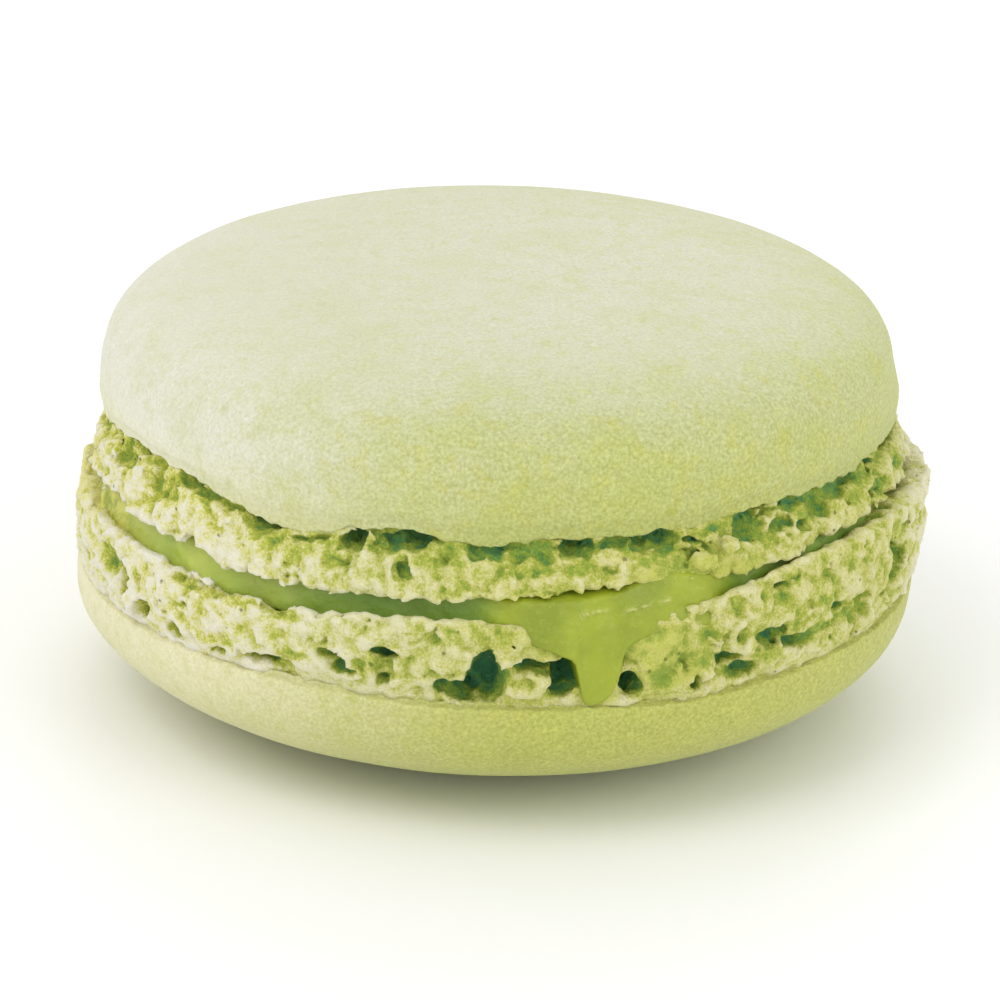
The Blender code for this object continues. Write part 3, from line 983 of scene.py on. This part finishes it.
@dataclass
class Foot:
    """The frilled foot of a shell: crusty foam with lumps, pores and torn hollows, grown as one solid.

    Attributes:
        form: the shell's sizes.
        wall: how far inside the core's skin the ring ends.
        lip_rounding: how round the lip is.
        recess: how far the face behind the lip draws back from the seam.
        lump_size: spacing of the large lumps.
        lump_height: how far they stand out.
        knot_size: spacing of the small lumps.
        knot_height: how far they stand out.
        foam_size: size of the foam's own grain.
        foam_height: how far it stands out.
        pore_size: spacing of the pores.
        cave_shade_depth: how much greener the caves are painted, as millimetres of depth: painted shade
            inside them.
        spot_shade_depth: how green the shade spots are painted, as millimetres of depth: painted shade.
    """

    form: ShellForm
    wall: float = 0.35
    lip_rounding: float = 0.9
    recess: float = 1.0
    lump_size: float = 1.7
    lump_height: float = 0.75
    knot_size: float = 0.6
    knot_height: float = 0.28
    foam_size: float = 0.8
    foam_height: float = 1.1
    pore_size: float = 1.1
    cave_shade_depth: float = 0.45
    spot_shade_depth: float = 0.8

    def lift(self, graph: Graph, azimuth: Socket, swells: tuple[Swell, ...]) -> Socket:
        """Adds up swells at an azimuth inside the tree."""
        result: Value = 0.0
        for swell in swells:
            apart = graph.math("DIVIDE", graph.math("SUBTRACT", azimuth, swell.azimuth), swell.half_width)
            fade = graph.math("EXPONENT", graph.math("MULTIPLY", graph.math("MULTIPLY", apart, apart), -1.0))
            result = graph.math("MULTIPLY_ADD", fade, swell.amount, result)
        return result

    def blobs(self, graph: Graph, place: Socket, blobs: tuple[Blob, ...], radius: float) -> Socket:
        """How far a place lies from the nearest blob, where one at the back goes on past 180 degrees.

        Args:
            graph: the tree.
            place: azimuth, drop and radius as a vector.
            blobs: the rounded places.
            radius: of the surface that they sit on, in millimetres.

        Returns:
            0 in the middle of a blob, 1 on its skin and more outside.
        """
        per_degree = math.radians(1) * radius
        nearest: Value = 9.0
        twins = tuple(
            replace(blob, azimuth=blob.azimuth - math.copysign(360, blob.azimuth))
            for blob in blobs
            if abs(blob.azimuth) > NEAR_BACK
        )
        for blob in blobs + twins:
            size = (blob.half_width / per_degree, blob.half_height, blob.depth)
            middle = (blob.azimuth, blob.drop, radius - blob.inset)
            inverse = tuple(1 / part for part in size)
            offset = tuple(-part / whole for part, whole in zip(middle, size))
            apart = graph.vector("MULTIPLY_ADD", place, inverse, offset)
            nearest = graph.math("MINIMUM", nearest, graph.vector("LENGTH", apart))
        return nearest

    def bumps(self, graph: Graph, place: Socket, size: float, height: Value) -> Socket:
        """Rounded bumps packed side by side, with creases between them.

        Args:
            graph: the tree.
            place: in millimetres.
            size: spacing of the bumps.
            height: from crease to top.

        Returns:
            How far they stand out.
        """
        apart = graph.cells(place, size).outputs["Distance"]
        square = graph.math("MULTIPLY_ADD", graph.math("MULTIPLY", apart, apart), -1.0, 0.8)
        dome = graph.math("SQRT", graph.math("MAXIMUM", square, 0.0))
        return graph.math("MULTIPLY", graph.math("SUBTRACT", dome, 0.68), height)

    def tree(self, finish: bpy.types.Material) -> bpy.types.NodeTree:
        """Builds the node tree that grows the foot.

        Args:
            finish: its material.

        Returns:
            The tree, whose inputs are the voxel and the heights of the lumps.
        """
        form = self.form
        up = form.facing.value
        tree = bpy.data.node_groups.new(form.label + "_foot", "GeometryNodeTree")
        graph = Graph(tree)
        tree.interface.new_socket("Geometry", in_out="OUTPUT", socket_type="NodeSocketGeometry")
        for name in self.inputs():
            tree.interface.new_socket(name, in_out="INPUT", socket_type="NodeSocketFloat")
        given = graph.add("NodeGroupInput").outputs
        position = graph.add("GeometryNodeInputPosition").outputs[0]
        x, y, z = graph.split(position)
        radius = graph.vector("LENGTH", graph.joined(x, y, 0.0))
        turn = graph.math("ARCTAN2", x, graph.math("MULTIPLY", y, -1.0))
        azimuth = graph.math("DEGREES", turn)

        rim = graph.math("ADD", self.lift(graph, azimuth, form.rim_waves), form.rim_z)
        tilt = graph.math("MULTIPLY", x, form.seam_rise / form.foot_radius)
        lip = graph.total(form.rim_z - up * form.foot, tilt, self.lift(graph, azimuth, form.lip_waves))
        height = graph.math("MULTIPLY", graph.math("SUBTRACT", rim, lip), up)
        drop = graph.math("MULTIPLY", graph.math("SUBTRACT", rim, z), up)
        share = graph.math("DIVIDE", drop, height)

        seeded = graph.vector("ADD", position, graph.joined(given["Seed"], given["Seed"], given["Seed"]))
        wander = graph.grain(seeded, 2.2, 2.0, 0.5).outputs["Color"]
        wander = graph.vector("SUBTRACT", wander, (0.5, 0.5, 0.5))
        bent = graph.vector("MULTIPLY_ADD", wander, (1.2, 1.2, 1.2), seeded)
        foam = graph.grain(bent, self.foam_size, 4.0, 0.55).outputs[0]
        proud = graph.total(
            self.bumps(graph, bent, self.lump_size, given["Lump Height"]),
            self.bumps(graph, bent, self.knot_size, given["Knot Height"]),
            graph.math("MULTIPLY", graph.math("SUBTRACT", foam, 0.5), given["Foam Height"]),
        )

        flare = graph.math("POWER", graph.math("MAXIMUM", share, 0.0), form.slope)
        flare = graph.math("MINIMUM", flare, 1.0)
        start = form.rim_radius + form.cover
        girth = graph.math("ADD", self.lift(graph, azimuth, form.girth), form.foot_radius - 0.2 - start)
        fold = graph.math("MULTIPLY", graph.math("MINIMUM", drop, 0.0), form.fold)
        tuck = graph.math("SUBTRACT", graph.step(share, 0.5, 1.1, 0.0, form.tuck), fold)
        wall = graph.math("SUBTRACT", graph.math("MULTIPLY_ADD", flare, girth, start), tuck)
        outside = graph.math("SUBTRACT", radius, wall)
        recess = graph.math("SUBTRACT", self.recess, self.lift(graph, azimuth, form.shelf))
        drawn = graph.step(radius, form.foot_radius - 1.9, form.foot_radius - 0.75, recess, 0.0)
        below = graph.total(drop, graph.math("MULTIPLY", height, -1.0), drawn)
        smooth = graph.math("SMOOTH_MAX", outside, below, self.lip_rounding)
        rough_wall = graph.math("MULTIPLY_ADD", proud, -1.0, outside)
        rough_lip = graph.math("MULTIPLY_ADD", proud, -0.75, below)
        rough = graph.math("SMOOTH_MAX", rough_wall, rough_lip, self.lip_rounding * 0.6)

        ragged = graph.grain(seeded, 0.9, 3.0, 0.65).outputs["Color"]
        ragged = graph.vector("SUBTRACT", ragged, (0.5, 0.5, 0.5))
        around = graph.joined(azimuth, drop, radius)
        around = graph.vector("MULTIPLY_ADD", ragged, (2.8, 1.1, 1.6), around)
        knobs = self.blobs(graph, around, form.knobs, form.foot_radius - 0.5)
        swollen = graph.math("MULTIPLY_ADD", proud, -0.5, graph.math("MULTIPLY_ADD", knobs, 0.8, -0.8))
        rough = graph.math("SMOOTH_MIN", rough, swollen, 0.4)
        caves = self.blobs(graph, around, form.caves, form.rim_radius + 0.3)
        carved = graph.math("MULTIPLY_ADD", caves, -0.9, 0.9)
        patchy = graph.grain(seeded, 2.6, 1.0, 0.5).outputs[0]
        slot = graph.math("DIVIDE", graph.math("SUBTRACT", graph.split(around)[1], 0.1), 0.34)
        slot = graph.math("MULTIPLY_ADD", graph.math("MULTIPLY", slot, slot), -0.35, 0.35)
        bite = graph.step(patchy, 0.4, 0.6, -0.25, form.undercut)
        deep = graph.math("ADD", graph.math("SUBTRACT", radius, form.rim_radius), bite)
        carved = graph.math("MAXIMUM", carved, graph.math("MINIMUM", slot, deep))
        holed = graph.math("SMOOTH_MAX", rough, carved, 0.4)

        pores = graph.cells(bent, self.pore_size)
        pick = graph.split(pores.outputs["Color"])[0]
        pore_radius = graph.step(pick, 0.62, 1.0, 0.0, 0.22)
        away = graph.math("MULTIPLY", pores.outputs["Distance"], self.pore_size)
        holed = graph.math("SMOOTH_MAX", holed, graph.math("SUBTRACT", pore_radius, away), 0.1)

        inner = graph.math("SUBTRACT", form.core_radius - self.wall, radius)
        hidden = graph.math("SUBTRACT", -0.7 / form.fold, drop)
        solid = graph.math("MAXIMUM", graph.math("MAXIMUM", holed, inner), hidden)
        skin = self.grown(graph, solid, given["Voxel"])

        # Painted shade: the hollow number greens the crumb under the top cap's rim, inside the caves, at the
        # shade spots and where it sinks under its smooth envelope; on the bottom shell it pales near the rim.
        rim_shade = graph.step(share, 0.42, 0.05, 0.0, form.rim_shade_depth)
        shade_spots = self.blobs(graph, around, form.shade_spots, form.rim_radius + 0.3)
        sunk = graph.math("MAXIMUM", graph.math("MULTIPLY", smooth, -1.0), -0.35)
        torn = graph.math("ADD", sunk, graph.step(caves, 1.25, 0.7, 0.0, self.cave_shade_depth))
        spot_shade = graph.step(shade_spots, 1.2, 0.4, -0.3, self.spot_shade_depth)
        hollow = graph.math("ADD", rim_shade, graph.math("MAXIMUM", torn, spot_shade))
        stored = self.store(graph, skin, "hollow", hollow)
        stains = self.blobs(graph, around, form.soaked, form.foot_radius - 0.3)
        stored = self.store(graph, stored, "soaked", graph.step(stains, 1.15, 0.6))
        stored = self.store_nook(graph, stored)
        scaled = graph.add("GeometryNodeTransform", {"Geometry": stored, "Scale": (MM, MM, MM)})
        graph.feed(scaled.inputs["Rotation"], (math.radians(form.lean[0]), math.radians(form.lean[1]), 0.0))
        real = graph.add("GeometryNodeRealizeInstances", {0: scaled.outputs[0]})
        dressed = graph.add("GeometryNodeSetMaterial", {"Geometry": real.outputs[0], "Material": finish})
        output = graph.add("NodeGroupOutput")
        graph.feed(output.inputs[0], dressed.outputs[0])
        return tree

    def grown(self, graph: Graph, solid: Socket, voxel: Socket) -> Socket:
        """Turns a field that is negative inside the foot into its skin.

        Args:
            graph: the tree.
            solid: the field, in millimetres.
            voxel: how fine to grow it.

        Returns:
            The mesh.
        """
        form = self.form
        reach = form.foot_radius + 1.0
        lip_z = form.rim_z - form.facing.value * form.foot
        low_z, high_z = min(form.rim_z - 0.8, lip_z - 1.4), max(form.rim_z + 0.8, lip_z + 1.4)
        cube = graph.add("GeometryNodeVolumeCube")
        graph.feed(cube.inputs["Density"], graph.math("MULTIPLY", solid, -1.0))
        graph.feed(cube.inputs["Background"], -1.0)
        graph.feed(cube.inputs["Min"], (-reach, -reach, low_z))
        graph.feed(cube.inputs["Max"], (reach, reach, high_z))
        for axis, span in (("X", 2 * reach), ("Y", 2 * reach), ("Z", high_z - low_z)):
            count = graph.add("FunctionNodeFloatToInt", {0: graph.math("DIVIDE", span, voxel)})
            graph.feed(cube.inputs["Resolution " + axis], count.outputs[0])
        skin = graph.add("GeometryNodeVolumeToMesh", {"Volume": cube.outputs[0], "Threshold": 0.0})
        graph.feed(skin.inputs["Adaptivity"], 0.1)
        return skin.outputs[0]

    def store(self, graph: Graph, geometry: Socket, name: str, value: Socket) -> Socket:
        """Stores a number on each vertex inside the tree."""
        node = graph.add("GeometryNodeStoreNamedAttribute", data_type="FLOAT", domain="POINT")
        graph.feed(node.inputs["Geometry"], geometry)
        graph.feed(node.inputs["Name"], name)
        graph.feed(node.inputs["Value"], value)
        return node.outputs[0]

    def store_nook(self, graph: Graph, geometry: Socket) -> Socket:
        """Stores how far each vertex lies under the blurred surface, in millimetres."""
        position = graph.add("GeometryNodeInputPosition").outputs[0]
        blur = graph.add("GeometryNodeBlurAttribute", data_type="FLOAT_VECTOR")
        graph.feed(blur.inputs["Iterations"], 12)
        vector_in = next(s for s in blur.inputs if s.enabled and s.type == "VECTOR")
        vector_out = next(s for s in blur.outputs if s.enabled and s.type == "VECTOR")
        graph.feed(vector_in, position)
        shift = graph.vector("SUBTRACT", vector_out, position)
        normal = graph.add("GeometryNodeInputNormal").outputs[0]
        return self.store(graph, geometry, "nook", graph.vector("DOT_PRODUCT", shift, normal))

    def inputs(self) -> dict[str, float]:
        """The tree's named inputs and their values."""
        return {
            "Voxel": self.form.crumb_voxel,
            "Lump Height": self.lump_height,
            "Knot Height": self.knot_height,
            "Foam Height": self.foam_height,
            "Seed": self.form.seed,
        }

    def make(self, finish: bpy.types.Material) -> bpy.types.Object:
        """Grows the foot.

        Args:
            finish: its material.

        Returns:
            The finished piece.
        """
        return run_tree(self.form.label + "_foot", self.tree(finish), self.inputs())


@dataclass
class CreamLayer:
    """The layer of cream: a disc with a soft edge, and a spill that runs over both lips and down the foot.

    Attributes:
        low_z: height of its lower face.
        high_z: height of its upper face.
        radius: of its edge, before it swells.
        slope: how much further the edge stands out at its lower face.
        rounding: how far the edge curves in at its faces.
        columns: faces round it.
        edge_rows: rows of faces on the edge.
        swells: where the edge stands further out.
        spill: where it runs out over the lips.
        sags: where the spill hangs down.
        drip: where a blunt tongue of it runs down to the lower cap.
        lifts: where it is smeared up over the upper lip.
        highlight_streaks: pale strokes in the spill that are painted highlights, each an azimuth, a height
            and a half width in degrees.
    """

    low_z: float
    high_z: float
    radius: float = 21.6
    slope: float = 0.8
    rounding: float = 0.4
    columns: int = 720
    edge_rows: int = 84
    swells: tuple[Swell, ...] = (
        Swell(-50, 14, 0.5), Swell(-70, 9, 0.6), Swell(-86, 10, -0.1), Swell(54, 18, 0.45),
    )
    spill: tuple[Swell, ...] = (Swell(5, 6.5, 1.15), Swell(14.5, 7, 1.35), Swell(26.5, 7, 1.25))
    sags: tuple[Swell, ...] = (Swell(12.6, 4.8, -1.2), Swell(22, 5, -0.2))
    drip: Swell = Swell(13.9, 2.7, -2.4)
    lifts: tuple[Swell, ...] = (Swell(24, 6.5, 0.55),)
    highlight_streaks: tuple[tuple[float, float, float], ...] = (
        (12.8, 13.15, 1.9), (18.6, 13.28, 1.7), (22.5, 13.5, 0.8),
    )

    def make(self, finish: bpy.types.Material) -> bpy.types.Object:
        """Builds the layer.

        Args:
            finish: its material.

        Returns:
            The finished piece.
        """
        turns = np.linspace(math.pi / 2, -math.pi / 2, self.edge_rows + 1)
        inner = np.array([6.0, 13.0, 18.0, 20.0])
        falls = (1 - np.sign(np.sin(turns)) * np.abs(np.sin(turns)) ** 0.8) / 2
        falls = np.concatenate([np.zeros(4), falls, np.ones(4)])
        turned_in = self.rounding * (1 - np.cos(turns) ** 0.7)
        rows = len(falls)
        azimuths = (np.arange(self.columns) + 0.5) / self.columns * 360 - 180
        azimuth = np.repeat(azimuths[None, :], rows, axis=0)
        fall = np.repeat(falls[:, None], self.columns, axis=1)
        angle = np.radians(azimuth)
        tilt = SEAM_RISE * self.radius * np.sin(angle) / TOP.foot_radius
        top = self.high_z + swelling(azimuth, self.lifts)
        apart = (azimuth - self.drip.azimuth) / self.drip.half_width
        bottom = self.low_z + swelling(azimuth, self.sags) + self.drip.amount * np.exp(-(apart**6))
        height = top + (bottom - top) * fall

        spill = swelling(azimuth, self.spill)
        emerging = ease((14.25 + 1.5 * swelling(azimuth, self.lifts) - height) / 0.6)
        hugging = 1 - 0.1 * ease((12.4 - height) / 4.5)
        radius = self.radius + swelling(azimuth, self.swells) + self.slope * fall + spill * emerging * hugging
        radius[4:-4] -= turned_in[:, None]
        radius[:4] = inner[:, None]
        radius[-4:] = inner[::-1, None]
        for row, column in np.ndindex(radius[4:-4].shape):
            place = Vector((azimuths[column] * 0.4, height[row + 4, column], 0.0))
            radius[row + 4, column] += 0.16 * noise.noise(place / 1.4) + 0.06 * noise.noise(place / 0.45)
        x, y = radius * np.sin(angle), -radius * np.cos(angle)
        points = np.stack([x, y, height + tilt], axis=2).reshape(-1, 3)
        points = np.vstack([points, [0.0, 0.0, self.high_z], [0.0, 0.0, self.low_z]])
        piece = mesh_object("cream", points, ring_faces(rows, self.columns))
        lime = np.clip(spill * emerging / 1.3, 0.0, 1.0)
        give_attribute(piece, "spill", np.append(lime.reshape(-1), [0.0, 0.0]))
        # Painted highlights: how strongly each point lies on a pale streak.
        pale = np.zeros_like(height)
        for middle, level, half_width in self.highlight_streaks:
            apart = azimuth - middle
            line = (height + tilt - level - 0.06 * apart) / 0.1
            pale += np.exp(-((apart / half_width) ** 4) - line**2)
        give_attribute(piece, "highlight_streak", np.append(pale.reshape(-1), [0.0, 0.0]))
        piece.data.materials.append(finish)
        return piece


@dataclass
class Studio:
    """The floor, the soft lights and the camera.

    Attributes:
        target_z: height that the camera looks at, in millimetres.
        distance: of the camera from there, in millimetres.
        elevation: degrees that the camera looks down.
        roll: degrees that the camera is turned about its own axis.
        view_width: what the picture spans at the target, in millimetres.
        shift: how the frame is moved on the sensor, as shares of its width.
    """

    target_z: float = 12.48
    distance: float = 232.35
    elevation: float = 20.88
    roll: float = 1.89
    view_width: float = 55.914
    shift: tuple[float, float] = (0.0042, -0.0363)

    def camera(self) -> bpy.types.Object:
        """Places the camera and makes it the scene's own."""
        data = bpy.data.cameras.new("camera")
        data.sensor_width = 36.0
        data.lens = data.sensor_width * self.distance / self.view_width
        data.shift_x, data.shift_y = self.shift
        data.clip_start = 0.01
        made = bpy.data.objects.new("camera", data)
        down = math.radians(self.elevation)
        away = Vector((0.0, -math.cos(down), math.sin(down))) * self.distance
        place = (away + Vector((0.0, 0.0, self.target_z))) * MM
        rolled = Matrix.Rotation(math.radians(self.roll), 3, "Z")
        turn = Euler((math.pi / 2 - down, 0.0, 0.0)).to_matrix() @ rolled
        made.matrix_world = Matrix.Translation(place) @ turn.to_4x4()
        bpy.context.scene.collection.objects.link(made)
        bpy.context.scene.camera = made
        return made

    def lamp(self, name: str, place: tuple, size: float, power: float, colour: Colour) -> bpy.types.Object:
        """Hangs one square soft light that faces the macaron.

        Args:
            name: its name.
            place: in millimetres.
            size: of its side, in millimetres.
            power: in watts.
            colour: of its light.

        Returns:
            The light.
        """
        data = bpy.data.lights.new(name, "AREA")
        data.size = size * MM
        data.energy = power
        data.color = colour
        made = bpy.data.objects.new(name, data)
        aim = Vector((0.0, 0.0, self.target_z)) - Vector(place)
        turned = aim.to_track_quat("-Z", "Y").to_matrix().to_4x4()
        made.matrix_world = Matrix.Translation(Vector(place) * MM) @ turned
        bpy.context.scene.collection.objects.link(made)
        return made

    def world(self, strength: float) -> None:
        """Surrounds everything with plain white light."""
        made = bpy.data.worlds.new("room")
        made.use_nodes = True
        backdrop = made.node_tree.nodes["Background"]
        backdrop.inputs["Color"].default_value = (1.0, 1.0, 1.0, 1.0)
        backdrop.inputs["Strength"].default_value = strength
        bpy.context.scene.world = made

    def floor(self) -> bpy.types.Object:
        """Lays the pale floor."""
        side = 3000.0
        corners = np.array([[-side, -side, 0.0], [side, -side, 0.0], [side, side, 0.0], [-side, side, 0.0]])
        made = mesh_object("floor", corners, [(0, 1, 2, 3)])
        material = bpy.data.materials.new("floor_white")
        material.use_nodes = True
        shader = material.node_tree.nodes["Principled BSDF"]
        shader.inputs["Base Color"].default_value = (0.96, 0.96, 0.96, 1.0)
        shader.inputs["Roughness"].default_value = 0.6
        made.data.materials.append(material)
        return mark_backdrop(made) or made

    def make(self) -> None:
        """Sets up everything round the macaron."""
        self.camera()
        self.floor()
        self.world(0.85)
        self.lamp("key", (-260.0, -220.0, 420.0), 320.0, 0.7, (1.0, 0.99, 0.96))
        self.lamp("fill", (320.0, -260.0, 220.0), 300.0, 0.4, (1.0, 1.0, 1.0))
        self.lamp("back", (40.0, 340.0, 300.0), 300.0, 0.25, (1.0, 1.0, 1.0))
        bpy.context.scene.view_settings.view_transform = "Standard"


def crust_stops() -> tuple[tuple[tuple[float, Colour], ...], tuple[tuple[float, Colour], ...]]:
    """The colour of the caps from the table to the crown, on the greener, shaded side and on the paler, lit
    side: painted light and shade, darker at the table as contact shade and paler at the crown partly as light
    from above.
    """
    places = (0.0, 0.07, 0.3, 0.66, 0.78, 0.9, 1.0)
    crown = linear(203, 204, 177)
    shade_side = (linear(150, 164, 62), linear(172, 178, 76), linear(181, 183, 92), linear(180, 186, 106))
    pale = (linear(170, 178, 90), linear(204, 202, 138), linear(226, 221, 182), linear(220, 219, 177))
    greener = shade_side + (linear(185, 190, 118), linear(188, 192, 136), crown)
    paler = pale + (linear(223, 222, 206), linear(216, 216, 196), crown)
    return tuple(zip(places, greener)), tuple(zip(places, paler))


def crumb_stops() -> tuple[tuple[tuple[float, Colour], ...], tuple[tuple[float, Colour], ...]]:
    """The colour of the feet from proud to deep, on the greener, shaded side and on the paler, lit side; the
    greens of the deep end are painted shade.
    """
    places = (0.0, 0.22, 0.36, 0.5, 0.62, 0.78, 1.0)
    deep = (linear(128, 160, 58), linear(88, 144, 82), linear(70, 136, 98))
    moss = (linear(164, 176, 62), linear(128, 156, 58), linear(96, 140, 64))
    shade_side = (linear(226, 222, 172), linear(211, 209, 130), linear(184, 189, 78), linear(152, 170, 60))
    pale = (linear(241, 238, 222), linear(238, 234, 206), linear(229, 224, 148), linear(197, 199, 76))
    return tuple(zip(places, shade_side + deep)), tuple(zip(places, pale + moss))


def wear(piece: bpy.types.Object, slot: Slot, *nodes: str) -> None:
    """Puts a finished piece on the frame.

    Args:
        piece: the piece.
        slot: the record's slot; not used.
        nodes: the CAD nodes that it stands for, if it does.
    """
    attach(piece, BODY)
    if nodes:
        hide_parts(*nodes)
    LOG.info("%s: %d faces", piece.name, len(piece.data.polygons))


def corners(box: tuple) -> list[list[float]]:
    """A box as two plain lists of numbers."""
    return [[float(value) for value in corner] for corner in box]


def main() -> None:
    """Builds the macaron and the studio, and reports each piece."""
    logging.basicConfig(level=logging.INFO, format="%(name)s %(message)s")
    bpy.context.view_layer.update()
    crust = CrustFinish("crust", 0.8, 0.5, 0.15, *crust_stops()).make()
    crumb = CrumbFinish("crumb", 0.85, 0.6, 0.2, *crumb_stops()).make()
    cream = CreamFinish("cream", 0.38, 0.9, 0.3).make()

    for form in (BOTTOM, TOP):
        wear(Cap(form).make(crust), Slot.MERINGUE, form.node)
        wear(Foot(form).make(crumb), Slot.MERINGUE, form.node)
    wear(CreamLayer(low_z=11.6, high_z=14.25).make(cream), Slot.CREAM, "filling")

    Studio().make()


if __name__ == "__main__":
    main()
